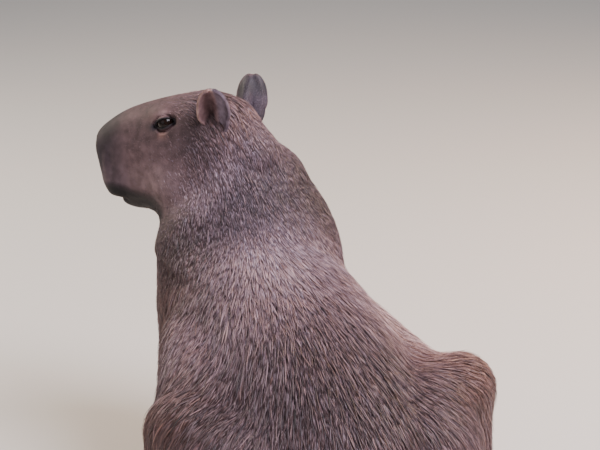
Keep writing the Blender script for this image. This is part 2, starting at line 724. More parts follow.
def make_ear(word):
    side = SIDES[word]
    bm = bmesh.new()
    bmesh.ops.create_grid(bm, x_segments=28, y_segments=22, size=1.0)
    for v in bm.verts:
        s, up = v.co.x, (v.co.y + 1) / 2
        half = EAR_WIDTH / 2 * math.sqrt(max(0.0, ear_fullness(up)))
        notch = 0.10 * math.exp(-((up - 0.30) / 0.07) ** 2)
        half *= 1 - max(s, 0) * (0.45 * max(0, 1 - up / 0.42) ** 1.5 + notch)
        low_front = max(-s, 0) * max(0, 1 - up / 0.34)
        half *= 1 - 0.55 * low_front
        hollow = (1 - s * s) * (0.35 + 0.65 * math.exp(-((s + 0.35) / 0.45) ** 2))
        cup = EAR_DEPTH * hollow * math.sin(math.pi * min(1, up * 0.85 + 0.15)) ** 0.9
        fold = 0.0052 * math.exp(-((s - 0.02 - 0.25 * up) / 0.13) ** 2) * math.exp(-((up - 0.34) / 0.22) ** 2)
        fold += 0.0030 * math.exp(-((s + 0.45) / 0.14) ** 2) * math.exp(-((up - 0.22) / 0.10) ** 2)
        roll = 0.0030 * max(0, abs(s) - 0.70) / 0.30
        lean = 0.012 * (up - low_front)
        v.co = Vector((side * (lean - cup + roll + fold), s * half, (up - EAR_SUNK) * EAR_RISE))
    bmesh.ops.remove_doubles(bm, verts=bm.verts, dist=2e-4)
    rims = {v.index: 1.0 if v.is_boundary else 0.0 for v in bm.verts}
    for v in bm.verts:
        if not v.is_boundary and any(e.other_vert(v).is_boundary for e in v.link_edges):
            rims[v.index] = 0.6
    bmesh.ops.transform(bm, matrix=ear_place(side), verts=bm.verts)
    bm.verts.index_update()
    ear = new_object("ear_shell_" + word, bm)
    group = ear.vertex_groups.new(name="rim")
    for index, share in rims.items():
        group.add([index], share, "REPLACE")
    modify(ear, "SOLIDIFY", thickness=EAR_THICKNESS, offset=0, vertex_group="rim",
           thickness_vertex_group=EAR_HOLLOW_SHARE)
    modify(ear, "SUBSURF", levels=2, render_levels=2)
    settle(ear)
    ear.vertex_groups.clear()
    ear.data.shade_smooth()
    return ear


ears = {word: make_ear(word) for word in SIDES}

# %% [markdown]
# ## Claws
# Each toe ends in a blunt dark claw, almost a small hoof. It is a separate horny piece that grows
# out of the toe, so it is modelled as a flattened cone sunk in the toe's end.

# %% Claws
CLAW_LIFT = 0.0004


def make_claws(name, side, count, start, reach, spacing, middle):
    """The claws of one foot as one piece."""
    bm = bmesh.new()
    for _, far, length in toe_fan(side, count, reach, spacing, middle):
        tube(bm, [
            (start + length * 0.60, far, 0.013, 0.003, 0.003, 0.003),
            (start + length * 0.72, far, 0.0125, spacing * 0.34, 0.0065, 0.0065),
            (start + length * 0.98, far, 0.0090, spacing * 0.33, 0.0060, 0.0070),
            (start + length * 1.16, far, 0.0055, spacing * 0.20, 0.0036, 0.0048),
            (start + length * 1.20, far, 0.0045, 0.001, 0.001, 0.0015),
        ], sides=20, rings=20)
    low = min(v.co.z for v in bm.verts)
    bmesh.ops.translate(bm, verts=bm.verts, vec=(0, 0, max(CLAW_LIFT - low, 0)))
    return new_object(name, bm)


claws = [make_claws("claws_%s_%s" % (end, word), side, *toe_plan(end, side))
         for word, side in SIDES.items() for end in ("hind", "front")]

# %% [markdown]
# ## Stand it on the floor
# The soles and the seat are pressed flat where they carry the weight. Everything that hangs below
# the floor is laid on it, which is what happens to soft skin.

# %% Press the skin flat on the floor
def press_flat(obj):
    co, _ = points_of(obj.data)
    co[:, 2] = np.maximum(co[:, 2], 0.0)
    set_points(obj, co)


press_flat(skin)

# %% [markdown]
# ## Which way the hair lies
# Hair sweeps back over the head, fans out from the neck and the withers and runs down the flanks
# and the thighs. A groomer combs it by hand. Here a few landmarks say which way it lies there, and
# every other place takes a blend of the landmarks around it.

# %% The lie of the coat
BODY_LIE = [
    ((0.41, 0, 0.56), (-0.6, 0, -0.8)), ((0.38, 0.08, 0.54), (-0.3, 0.6, -0.7)),
    ((0.36, 0, 0.48), (-0.75, 0, -0.65)), ((0.4, 0.14, 0.44), (-0.3, 0.35, -0.88)),
    ((0.27, 0, 0.44), (-0.9, 0, -0.45)), ((0.27, 0.06, 0.43), (-0.4, 1, -0.35)),
    ((0.31, 0.14, 0.36), (-0.45, 0.45, -0.8)), ((0.14, 0, 0.385), (-0.85, 0, -0.45)),
    ((0.14, 0.11, 0.35), (-0.75, 0.45, -0.5)), ((0.16, 0.18, 0.24), (-0.7, 0.1, -0.7)),
    ((0, 0, 0.31), (-0.8, 0, -0.6)), ((0, 0.1, 0.29), (-0.6, 0.4, -0.7)),
    ((-0.09, 0, 0.23), (-0.5, 0, -0.85)), ((-0.12, 0, 0.13), (0.1, 0, -1)),
    ((-0.06, 0.14, 0.15), (-0.1, 0.2, -1)), ((0.07, 0.2, 0.285), (-0.2, 1, -0.2)),
    ((0.07, 0.29, 0.23), (0, 0.3, -0.9)), ((0.05, 0.26, 0.12), (-0.2, 0, -1)),
    ((0.12, 0.25, 0.02), (1, 0, -0.1)), ((0.52, 0, 0.34), (-0.2, 0, -1)),
    ((0.48, 0.1, 0.3), (-0.3, 0.2, -0.95)), ((0.42, 0, 0.18), (-0.8, 0, -0.6)),
    ((0.2, 0, 0.06), (-1, 0, 0)), ((0.36, 0.17, 0.28), (-0.2, 0, -1)), ((0.38, 0.14, 0.12), (0.1, 0, -1)),
    ((0.44, 0.12, 0.03), (1, 0, -0.2)),
]
HEAD_LIE = [
    ((-0.04, 0, 0.09), (-1, 0, 0.3)), ((-0.15, 0, 0.145), (-1, 0, 0.15)),
    ((-0.24, 0.04, 0.14), (-0.85, 0.25, -0.3)), ((-0.12, 0.07, 0.03), (-0.9, 0, -0.35)),
    ((-0.2, 0.078, 0.02), (-0.6, 0, -0.8)), ((-0.03, 0.045, 0), (-0.5, 0.1, -0.85)),
    ((-0.06, 0, -0.055), (-1, 0, -0.1)),
]
LIE_BLUR = 0.065


def landmarks():
    """Every place where the lie of the coat is given, with the way it lies, as two arrays."""
    places, ways = [], []
    turn = head_frame().to_3x3()
    for side in (1, -1):
        for place, way in BODY_LIE:
            places.append(at(place[0], side * place[1], place[2]))
            ways.append(at(way[0], side * way[1], way[2]))
        for place, way in HEAD_LIE:
            places.append(in_head(-place[0], side * place[1], place[2]))
            ways.append(turn @ at(way[0], side * way[1], way[2]))
    return np.array(places), np.array(ways)


LIE_PLACES, LIE_WAYS = landmarks()


def unit(vectors):
    return vectors / np.maximum(np.linalg.norm(vectors, axis=1), 1e-9)[:, None]


def lie_of_coat(points, normals):
    """The hair's way along the skin at many points at once."""
    far = ((points[:, None, :] - LIE_PLACES[None]) ** 2).sum(2)
    share = np.exp(-far / (2 * LIE_BLUR ** 2))
    ways = share @ LIE_WAYS
    ways -= normals * (ways * normals).sum(1)[:, None]
    return unit(ways)


print("landmarks of the lie:", len(LIE_PLACES))

# %% [markdown]
# ## The colours of the coat
# Coat and skin carry the same markings: greyish brown all over, paler over the withers and along
# the flanks, darker on the lower back, rusty over the knees, dark grey on the muzzle and the feet,
# with a pale spot over the eye. Tone and warmth are worked out from the place on the animal, and
# are kept on every point of the mesh, so that hair and skin can't disagree.

# %% Markings
def blob(points, place, spread):
    return np.exp(-((points - np.array(at(*place))) ** 2).sum(1) / (2 * spread ** 2))


# Place, spread, change of tone and change of warmth: the withers and the darker ring of the neck round
# them, the sides of the neck, the flanks, the knees and the lower back.
BODY_MARKS = [
    ((0.28, -0.01, 0.41), 0.080, 0.27, 0), ((0.345, 0, 0.44), 0.040, -0.15, 0),
    ((0.33, 0.10, 0.43), 0.055, -0.17, 0), ((0.34, -0.10, 0.45), 0.055, -0.16, 0),
    ((0.33, 0, 0.49), 0.050, -0.15, 0), ((0.23, 0.11, 0.38), 0.030, -0.12, 0),
    ((0.22, -0.08, 0.41), 0.030, -0.10, 0), ((0.44, 0.10, 0.44), 0.050, -0.13, 0),
    ((0.20, -0.05, 0.34), 0.050, -0.06, 0), ((0.33, -0.03, 0.46), 0.10, 0, -0.30),
    ((0.33, 0.15, 0.33), 0.07, -0.11, 0.40), ((0.22, -0.17, 0.31), 0.08, 0, 0.25),
    ((0.20, 0.17, 0.31), 0.07, 0.03, 0), ((0.20, -0.17, 0.31), 0.07, 0.34, 0),
    ((0.08, 0.24, 0.28), 0.06, 0, 0.45), ((0.08, -0.24, 0.28), 0.06, 0, 0.45),
    ((0.40, 0.12, 0.49), 0.07, -0.09, 0), ((0.40, -0.12, 0.49), 0.07, -0.20, 0),
    ((0.07, 0.22, 0.24), 0.07, -0.14, 0), ((0.07, -0.22, 0.24), 0.07, -0.07, 0),
    ((0.02, 0, 0.26), 0.13, -0.21, 0), ((0.44, 0.03, 0.505), 0.05, 0.12, 0),
]
# Forward and up from the eye with the spread of each, bend, tone and warmth: the pale brow spot, the
# tan patch under the eye and the dark trough in front of it.
EYE_MARKS = [
    (0.002, 0.016, 0.0155, 0.0062, 0.10, 0.36, -0.05),
    (0.004, 0.010, -0.0190, 0.0070, 0, 0.13, 0.40),
    (0.0200, 0.0065, -0.0060, 0.0050, 0, -0.22, -0.60),
]


def markings(points):
    """Tone from 0, darkest, to 1, palest, and warmth from 0, grey, to 1, rusty, at every point."""
    behind, out, above = to_head(points)
    wide = abs(out)
    tone = np.full(len(points), 0.475)
    warm = np.full(len(points), 0.40)
    for place, spread, paler, rustier in BODY_MARKS:
        mark = blob(points, place, spread)
        tone += paler * mark
        warm += rustier * mark
    tone -= 0.15 * step_up(0.10 - points[:, 2], 0.0, 0.08)
    on_head = (1 - step_up(behind, 0.22, 0.28)) * step_up(above, -0.110, -0.060) * (wide < 0.13)
    tone += 0.20 * on_head * (1 - step_up(behind, 0.14, 0.25)) * step_up(above, -0.08, 0.02)
    tone -= 0.30 * on_head * step_up(above, 0.00, 0.11) * (1 - step_up(behind, 0.19, 0.26))
    warm += 0.15 * on_head * step_up(above, 0.07, 0.13)
    tone += 0.12 * on_head * step_up(behind, 0.08, 0.14) * bump(above - 0.025, 0.05)
    muzzle = on_head * (1 - step_up(behind + 0.35 * np.abs(above), 0.040, 0.100))
    tone -= 0.26 * muzzle
    warm -= 0.22 * muzzle
    level = mouth_level(behind, wide)
    tone -= 0.62 * on_head * (1 - step_up(above - level, 0.004, 0.028)) * (1 - step_up(behind, 0.090, 0.150))
    nostril = bump(wide - NOSTRIL_AT[1] - 0.003, 0.011) * bump(above - NOSTRIL_AT[2], 0.006)
    tone -= 0.40 * nostril * (behind < 0.035)
    nose = on_head * bump(np.maximum(behind - 0.010, 0), 0.012) * bump(above - 0.028, 0.026) * (wide < 0.045)
    tone -= 0.14 * nose
    warm -= 0.25 * nose
    for side in (1, -1):
        u, v, w = round_eye(points, side)
        near = bump(np.maximum(-w - 0.006, 0), 0.008) * (w > -0.03)
        for u0, long, v0, tall, bend, paler, rustier in EYE_MARKS:
            mark = near * bump(u - u0, long) * bump(v - v0 + bend * abs(u), tall)
            tone += paler * mark
            warm += rustier * mark
        upper, lower = opening(np.clip(u, -0.9 * OPEN_HALF_LENGTH, 0.9 * OPEN_HALF_LENGTH))
        off = np.maximum(np.maximum(v - upper, lower - v), 0)
        beyond = np.maximum(np.abs(u + 0.001) - OPEN_HALF_LENGTH, 0)
        edge = near * bump(np.hypot(off, beyond), 0.0030)
        tone -= 0.46 * edge
        warm -= 0.50 * edge
    return np.clip(tone, 0.02, 1), np.clip(warm, 0, 1)


def ear_markings(points, normals, side):
    """Tone and warmth on an ear: a dark hollow, a pale rim and a slate back."""
    back = np.array(ear_place(side).inverted())
    local = points @ back[:3, :3].T + back[:3, 3]
    facing = (normals @ back[:3, :3].T)[:, 0] * side
    up = local[:, 2] / EAR_RISE + EAR_SUNK
    half = EAR_WIDTH / 2 * np.sqrt(np.clip(ear_fullness(up), 0.05, 1))
    s = local[:, 1] / half
    inner = step_up(facing, -0.35, 0.25)
    rim = step_up(np.maximum(abs(s), np.maximum(up - 0.55, 0) / 0.45), 0.80, 0.98)
    hollow = bump(s + 0.35, 0.36) * (1 - step_up(up, 0.72, 0.95))
    flap = step_up(s, 0.05, 0.35)
    tone = 0.17 + 0.34 * inner * (1 - hollow) + 0.17 * inner * hollow - 0.12 * inner * step_up(s, 0.45, 0.8)
    tone += 0.14 * rim * (s < 0.3)
    tone += 0.10 * (1 - inner) * bump(up - 0.40, 0.2) - 0.08 * (1 - inner) * bump(up - 0.75, 0.12)
    warm = 0.50 * inner * (1 - flap) + 0.3 * rim * (s < 0.3)
    return np.clip(tone, 0.02, 1), np.clip(warm, 0, 1), inner


def keep(mesh, name, values):
    layer = mesh.attributes.new(name, "FLOAT", "POINT")
    layer.data.foreach_set("value", np.asarray(values, dtype=np.float32))


def keep_marks(mesh, tone, warm):
    keep(mesh, "tone", tone)
    keep(mesh, "warm", warm)


# %% [markdown]
# ## Tufts
# A coat could be grown from particles, but particles aren't part of a mesh. Each tuft here is a
# closed, bent and tapering spine of a few triangles, and thousands of them are set into one mesh
# from arrays. A tuft walks over the skin along the lie of the coat, so it hugs every curve.

# %% Choose where the tufts grow
DRAW = np.random.default_rng(11)


def triangles_of(mesh):
    mesh.calc_loop_triangles()
    return numbers_of(mesh.loop_triangles, "vertices", 3, np.int64)


def scatter(mesh, count, density):
    """Places and normals spread over a mesh, thicker where density(points) is higher."""
    co, normal = points_of(mesh)
    tri = triangles_of(mesh)
    a, b, c = co[tri[:, 0]], co[tri[:, 1]], co[tri[:, 2]]
    area = np.linalg.norm(np.cross(b - a, c - a), axis=1) / 2
    weight = area * density((a + b + c) / 3)
    edges = np.cumsum(weight)
    picks = np.searchsorted(edges, (np.arange(count) + DRAW.random(count)) / count * edges[-1])
    picks = np.minimum(picks, len(tri) - 1)
    r, s = np.sqrt(DRAW.random(count)), DRAW.random(count)
    share = np.stack([1 - r, r * (1 - s), r * s], 1)
    place = (co[tri[picks]] * share[:, :, None]).sum(1)
    way = unit((normal[tri[picks]] * share[:, :, None]).sum(1))
    return place, way


# %% Walk the tufts over the skin
ROOT_DEPTH = 0.0012


def ground(mesh):
    return BVHTree.FromPolygons([v.co for v in mesh.vertices], [p.vertices for p in mesh.polygons])


def onto(tree, points):
    """The nearest places on the skin, and its normals there."""
    places, normals = np.empty_like(points), np.empty_like(points)
    for i, point in enumerate(points):
        place, normal = tree.find_nearest(point)[:2]
        places[i], normals[i] = place, normal
    return places, normals


def grow(tree, place, normal, length, lift, sway, steps, lie=lie_of_coat):
    """The middle line, the sideways way and the normal of every tuft at each of its rings."""
    lines, sides, overs = [], [], []
    point, over = place, normal
    way = lie(point, over)
    across = np.cross(over, way)
    way = unit(way + across * sway[:, None])
    share_before = 0.0
    for share in steps:
        if share > 0:
            target = point + way * ((share - share_before) * length)[:, None]
            point, fresh = onto(tree, target)
            over = unit(over * 0.5 + fresh * 0.5)
            turned = lie(point, over)
            way = unit(turned + np.cross(over, turned) * sway[:, None])
        lines.append(point + over * (lift * (share ** 0.8) - ROOT_DEPTH * (1 - share))[:, None])
        sides.append(np.cross(over, way))
        overs.append(over)
        share_before = share
    return np.stack(lines, 1), np.stack(sides, 1), np.stack(overs, 1)


# %% Make one mesh of many tufts
LOWEST_HAIR = 0.0005
TUFT_FLATNESS = 0.38


def tuft_mesh(name, lines, sides, overs, width, profile, unwrap, tone, warm):
    """Joins tufts whose rings are flat triangles, the last ring being one point, into one piece."""
    count, rings = lines.shape[:2]
    rings -= 1
    half = width[:, None] * np.array(profile)[None, :rings] / 2
    thick = half * TUFT_FLATNESS
    left = lines[:, :rings] - sides[:, :rings] * half[:, :, None]
    right = lines[:, :rings] + sides[:, :rings] * half[:, :, None]
    crest = lines[:, :rings] + overs[:, :rings] * thick[:, :, None]
    body = np.stack([left, crest, right], 2).reshape(count, rings * 3, 3)
    points = np.concatenate([body, lines[:, rings:]], 1)
    points[:, :, 2] = np.maximum(points[:, :, 2], LOWEST_HAIR)
    size = rings * 3 + 1
    quads = []
    for ring in range(rings - 1):
        for corner in range(3):
            after = (corner + 1) % 3
            low = ring * 3
            quads.append([low + corner, low + 3 + corner, low + 3 + after, low + after])
    last = (rings - 1) * 3
    tris = [[last + corner, size - 1, last + (corner + 1) % 3] for corner in range(3)]
    tris.append([0, 1, 2])
    start = (np.arange(count) * size)[:, None, None]
    quad_corners = (start + np.array(quads)[None]).reshape(-1)
    tri_corners = (start + np.array(tris)[None]).reshape(-1)
    corners = np.concatenate([quad_corners, tri_corners])
    totals = np.concatenate([np.full(count * len(quads), 4), np.full(count * len(tris), 3)])
    mesh = bpy.data.meshes.new(name)
    mesh.vertices.add(count * size)
    mesh.vertices.foreach_set("co", points.reshape(-1).astype(np.float32))
    mesh.loops.add(len(corners))
    mesh.loops.foreach_set("vertex_index", corners.astype(np.int32))
    mesh.polygons.add(len(totals))
    starts = np.concatenate([[0], np.cumsum(totals)[:-1]])
    mesh.polygons.foreach_set("loop_start", starts.astype(np.int32))
    mesh.update(calc_edges=True)
    mesh.shade_smooth()
    along = np.zeros(size)
    across = np.full(size, 0.5)
    for ring in range(rings):
        along[ring * 3:ring * 3 + 3] = ring / rings
        across[ring * 3:ring * 3 + 3] = (0.0, 0.5, 1.0)
    along[-1] = 1.0
    keep(mesh, "along", np.tile(along, count))
    keep_marks(mesh, np.repeat(tone, size), np.repeat(warm, size))
    patch = np.stack([across - 0.5, along - 0.5], 1)[None] * PATCH_SIZE + unwrap[:, None, :]
    layer = mesh.uv_layers.new(name="OFBake")
    layer.data.foreach_set("uv", patch.reshape(-1, 2)[corners].astype(np.float32).reshape(-1))
    return add(name, mesh)

# %% [markdown]
# ## A place on the unwrap for every tuft
# When the part is exported its colours are baked into a picture, so every tuft needs a small patch
# of its own in that picture. The skin is thinned and unwrapped flat, like a hide, and each tuft's
# patch goes where its root is on the hide. A view from one side would hide half of the roots.

# %% Unwrap the hide
PATCH_SIZE = 0.003
HIDE_TRIANGLES = 7000
ISLAND_MARGIN = 0.004


def spread_hide(obj):
    hide = add("hide", obj.data.copy())
    modify(hide, "DECIMATE", ratio=HIDE_TRIANGLES / (2 * len(obj.data.polygons)))
    settle(hide)
    bpy.context.view_layer.objects.active = hide
    hide.select_set(True)
    bpy.ops.object.mode_set(mode="EDIT")
    bpy.ops.mesh.select_all(action="SELECT")
    bpy.ops.uv.smart_project(angle_limit=math.radians(66), island_margin=ISLAND_MARGIN)
    bpy.ops.object.mode_set(mode="OBJECT")
    mesh = hide.data
    tri = triangles_of(mesh)
    loops = numbers_of(mesh.loop_triangles, "loops", 3, np.int64)
    uv = numbers_of(mesh.uv_layers.active.data, "uv", 2)
    co, _ = points_of(mesh)
    tree = BVHTree.FromPolygons([Vector(c) for c in co], [list(map(int, t)) for t in tri])
    bpy.data.objects.remove(hide)
    return tree, co, tri, uv[loops]


def place_on_hide(hide, points):
    """For every point, where the nearest place on the skin lies on the flat hide."""
    tree, co, tri, uv = hide
    index = np.array([tree.find_nearest(p)[2] for p in points])
    a, b, c = (co[tri[index, k]] for k in range(3))
    n = np.cross(b - a, c - a)
    twice = np.maximum((n * n).sum(1), 1e-20)
    v = (np.cross(points - a, c - a) * n).sum(1) / twice
    w = (np.cross(b - a, points - a) * n).sum(1) / twice
    v, w = np.clip(v, 0, 1), np.clip(w, 0, 1)
    total = np.maximum(v + w, 1)
    v, w = v / total, w / total
    flat = uv[index]
    return flat[:, 0] * (1 - v - w)[:, None] + flat[:, 1] * v[:, None] + flat[:, 2] * w[:, None]


hide = spread_hide(skin)
print("hide, triangles:", len(hide[2]))

# %% [markdown]
# ## The coat
# The trunk carries long coarse bristles that part into points and let the darker skin show between
# them. The head has short hair that lies flat, and the feet hardly any. Every zone of the coat gets
# its own density, length and width, and neighbouring tufts lean together so that they clump.

# %% How long the hair is
def neck_share(points):
    """1 on the neck and the withers, where the hair is short and dense, 0 on the body behind."""
    back = points @ np.array([0.0, 0.80, 0.0]) - 0.60 * points[:, 2]
    return 1 - step_up(back, -0.53, -0.42)


def hair_length(points):
    """Metres: a few millimetres on the nose, four centimetres on the rump."""
    behind, out, above = to_head(points)
    wide = abs(out)
    length = 0.040 - 0.012 * step_up(-points[:, 1], 0.10, 0.30) - 0.012 * neck_share(points)
    on_head = step_up(above, -0.110, -0.030) * (wide < 0.12)
    head_length = 0.0045 + 0.0065 * step_up(behind, 0.03, 0.12) + 0.012 * step_up(behind, 0.17, 0.26)
    head_length += 0.009 * step_up(above, 0.110, 0.145) * step_up(behind, 0.08, 0.16)
    for side in (1, -1):
        u, v, w = round_eye(points, side)
        head_length *= 1 - 0.55 * bump(np.hypot(u / 1.5, v), 0.024) * (w > -0.03)
    short = on_head * (1 - step_up(behind, 0.20, 0.30))
    length = head_length * short + length * (1 - short)
    near_floor = 1 - step_up(points[:, 2], 0.035, 0.17)
    on_leg = np.maximum(step_up(abs(points[:, 0]), 0.14, 0.19), step_up(-points[:, 1], 0.30, 0.36))
    return length * (1 - 0.75 * near_floor * on_leg)


def is_bare(points):
    """True on the nose, inside the eye's opening, on the claws and under the soles."""
    behind, out, above = to_head(points)
    wide = abs(out)
    nose = (behind < 0.016) & (above > 0.004) & (above < 0.052) & (wide < 0.034)
    lips = (behind < MOUTH_CORNER) & (abs(above - mouth_level(behind, wide)) < 0.0020)
    bare = nose | lips | (points[:, 2] < 0.004)
    for side in (1, -1):
        u, v, w = round_eye(points, side)
        bare |= (np.hypot(u / 1.60, v) < 0.0105) & (w > -0.002)
    return bare


# %% Lean the tufts together
CLUMP_SPACING = 0.011


def clump(place, lines, pull, spacing):
    """Draws the ends of neighbouring tufts towards the middle one of their clump."""
    heads = []
    cells = set()
    for i in DRAW.permutation(len(place)):
        cell = tuple(np.floor(place[i] / spacing).astype(int))
        if cell not in cells:
            cells.add(cell)
            heads.append(i)
    tree = KDTree(len(heads))
    for n, i in enumerate(heads):
        tree.insert(place[i], n)
    tree.balance()
    owner = np.array([heads[tree.find(p)[1]] for p in place])
    rings = lines.shape[1]
    for ring in range(1, rings):
        share = (ring / (rings - 1)) ** 1.4
        lines[:, ring] += (lines[owner, ring] - lines[:, ring]) * (pull * share)[:, None]
    return owner


# %% Grow the coat
LONG_STEPS = (0.0, 0.30, 0.66, 1.0)
LONG_PROFILE = (0.85, 0.90, 0.50)
GUARD_STEPS = (0.0, 0.18, 0.40, 0.62, 0.82, 1.0)
GUARD_PROFILE = (0.60, 0.95, 1.0, 0.80, 0.50)
SHORT_STEPS = (0.0, 0.45, 1.0)
SHORT_PROFILE = (0.95, 0.75)
UNDER_PROFILE = (0.90, 1.0)
SWAY = 0.13
WARM_SPREAD = 0.12


def grow_coat(name, count, density, steps, profile, width, lift, pull,
              spread=(0.07, 0.09), longer=1.0, paler=0.0, spacing=CLUMP_SPACING):
    """One piece of the coat. Spread is how much the tone differs between clumps and between tufts."""
    place, normal = scatter(skin.data, count, density)
    good = ~is_bare(place)
    place, normal = place[good], normal[good]
    many = len(place)
    length = hair_length(place) * DRAW.uniform(0.70, 1.25, many) * longer
    sway = DRAW.normal(0, SWAY, many)
    rise = (lift[0] + lift[1] * DRAW.random(many)) * length
    lines, sides, overs = grow(skin_ground, place, normal, length, rise, sway, steps)
    owner = clump(place, lines, pull * DRAW.uniform(0.5, 1.0, many), spacing)
    tone, warm = markings(place)
    clump_tone = DRAW.normal(0, spread[0], many)[owner]
    tone = np.clip(tone + paler + clump_tone + DRAW.normal(0, spread[1], many), 0, 1)
    warm = np.clip(warm + DRAW.normal(0, WARM_SPREAD, many), 0, 1)
    wide = width * DRAW.uniform(0.7, 1.3, many) * np.clip(length / 0.03, 0.35, 1.2)
    unwrap = place_on_hide(hide, place)
    piece = tuft_mesh(name, lines, sides, overs, wide, profile, unwrap, tone, warm)
    print(name, "tufts:", many, "triangles:", len(triangles_of(piece.data)))
    return piece


def off_head(points):
    """1 off the head, fading to 0 over cheeks and throat, so that no line parts the face from the neck."""
    behind, out, above = to_head(points)
    face = (1 - step_up(behind, 0.10, 0.22) ** 2) * step_up(above, -0.080, -0.020) * (abs(out) < 0.12)
    return 1 - face


def on_trunk(points):
    low = step_up(points[:, 2], 0.01, 0.05)
    under = (points[:, 2] < 0.16) & (abs(points[:, 0]) < 0.12) & (points[:, 1] < -0.06)
    return off_head(points) * low * (1 - 0.8 * neck_share(points)) * np.where(under, 0.45, 1.0)


def on_neck(points):
    return off_head(points) * neck_share(points)


def on_body(points):
    return off_head(points) * step_up(points[:, 2], 0.01, 0.05) * (1 + neck_share(points))


def on_back(points):
    """The long guard hairs: most on the back and the flanks, fewer on the neck and none low on the legs."""
    return off_head(points) * step_up(points[:, 2], 0.05, 0.14) * (1 - 0.35 * neck_share(points))


def on_face(points):
    behind, out, above = to_head(points)
    face = (above > -0.10) & (abs(out) < 0.125)
    return face * (1 - step_up(behind, 0.18, 0.25)) * (1 + 1.5 * (1 - step_up(behind, 0.03, 0.10)))


def on_feet(points):
    low = 1 - step_up(points[:, 2], 0.05, 0.12)
    feet = (abs(points[:, 0]) > 0.15) | (-points[:, 1] > 0.30)
    return low * feet


skin_ground = ground(skin.data)
MANY = 1.0
coat = []


def grow_pieces(name, pieces, count, *settings, **more):
    for number in range(pieces):
        coat.append(grow_coat("%s_%d" % (name, number + 1), int(count * MANY), *settings, **more))


# Pieces, tufts in each, where they grow, their rings and outline, width, lift and pull to the clump.
grow_pieces("coat_under", 2, 13000, on_body, SHORT_STEPS, UNDER_PROFILE, 0.0050, (0.05, 0.07), 0.30,
            spread=(0.045, 0.045), longer=0.85, paler=0.03)
grow_pieces("coat_trunk", 3, 12000, on_trunk, LONG_STEPS, LONG_PROFILE, 0.0025, (0.04, 0.07), 0.60,
            spread=(0.060, 0.035), longer=1.35, spacing=0.009)
grow_pieces("coat_neck", 1, 12400, on_neck, LONG_STEPS, LONG_PROFILE, 0.0027, (0.02, 0.05), 0.60,
            spread=(0.055, 0.030), longer=1.45, spacing=0.009)
grow_pieces("coat_guard", 1, 7000, on_back, GUARD_STEPS, GUARD_PROFILE, 0.0020, (0.06, 0.06), 0.50,
            spread=(0.070, 0.050), longer=1.60, paler=-0.04, spacing=0.009)
grow_pieces("coat_head", 1, 19900, on_face, SHORT_STEPS, SHORT_PROFILE, 0.0024, (0.02, 0.04), 0.40,
            spread=(0.035, 0.045), spacing=0.006)
grow_pieces("coat_feet", 1, 5500, on_feet, SHORT_STEPS, SHORT_PROFILE, 0.0022, (0.05, 0.08), 0.20)


EAR_TUFTS = 5500
EAR_HAIR_LENGTH = 0.0052
EAR_HAIR_WIDTH = 0.0009


def grow_ear_fur(word):
    """Velvet on the back of an ear and along its rim, which lies upwards and a little back."""
    side = SIDES[word]
    ear = ears[word].data
    place, normal = scatter(ear, int(EAR_TUFTS * MANY), lambda points: np.ones(len(points)))
    tone, warm, inner = ear_markings(place, normal, side)
    good = DRAW.random(len(place)) > 0.97 * inner
    place, normal, tone, warm = place[good], normal[good], tone[good], warm[good]
    many = len(place)
    upward = np.array(ear_place(side).to_3x3() @ Vector((0, 0.35, 1)))

    def up_the_ear(points, normals):
        return unit(upward - normals * (normals @ upward)[:, None])

    length = EAR_HAIR_LENGTH * DRAW.uniform(0.6, 1.3, many)
    lines, sides, overs = grow(ground(ear), place, normal, length, 0.16 * length, DRAW.normal(0, 0.2, many),
                               SHORT_STEPS, up_the_ear)
    tone = np.clip(tone + DRAW.normal(0.03, 0.07, many), 0, 1)
    width = EAR_HAIR_WIDTH * DRAW.uniform(0.7, 1.3, many)
    unwrap = place_on_hide(spread_hide(ears[word]), place)
    piece = tuft_mesh("coat_ear_" + word, lines, sides, overs, width, SHORT_PROFILE, unwrap, tone, warm)
    print(piece.name, "tufts:", many)
    return piece


coat += [grow_ear_fur(word) for word in SIDES]

# %% [markdown]
# ## Finishes
# Materials are read off the real thing: coarse hair that is dull grey-brown with paler tips and a
# faint gloss, thick leathery skin, dark horn, and a wet eye. Colours are written as the hex values
# a painter would pick, and one function turns them into the linear values that light needs.

# %% Helpers for materials
def linear(hex_colour):
    parts = [int(hex_colour[i:i + 2], 16) / 255 for i in (1, 3, 5)]
    return tuple(p / 12.92 if p <= 0.04045 else ((p + 0.055) / 1.055) ** 2.4 for p in parts) + (1.0,)


def node(tree, kind, links=(), **settings):
    """Adds a node, sets its properties and sockets, and links sockets to it."""
    made = tree.nodes.new(kind)
    for key, value in settings.items():
        if hasattr(made, key):
            setattr(made, key, value)
        else:
            made.inputs[key.replace("_", " ")].default_value = value
    for socket, source in links:
        tree.links.new(source, made.inputs[socket])
    return made


def blank(name, **settings):
    """A material with only a Principled shader, whose sockets are set by name."""
    made = bpy.data.materials.new(name)
    made.use_nodes = True
    shader = made.node_tree.nodes["Principled BSDF"]
    for key, value in settings.items():
        shader.inputs[key.replace("_", " ")].default_value = value
    return made, made.node_tree, shader


def ramp(tree, source, stops):
    made = node(tree, "ShaderNodeValToRGB", [("Fac", source)])
    while len(made.color_ramp.elements) < len(stops):
        made.color_ramp.elements.new(0.5)
    for element, (place, colour) in zip(made.color_ramp.elements, stops):
        element.position = place
        element.color = linear(colour)
    return made.outputs["Color"]


def mixed(tree, share, low, high, blend="MIX"):
    made = tree.nodes.new("ShaderNodeMix")
    made.data_type = "RGBA"
    made.blend_type = blend
    for socket, value in ((made.inputs[0], share), (made.inputs[6], low), (made.inputs[7], high)):
        if isinstance(value, bpy.types.NodeSocket):
            tree.links.new(value, socket)
        else:
            socket.default_value = value
    return made.outputs[2]


def multiplied(tree, colour, other):
    return mixed(tree, 1.0, colour, other, "MULTIPLY")


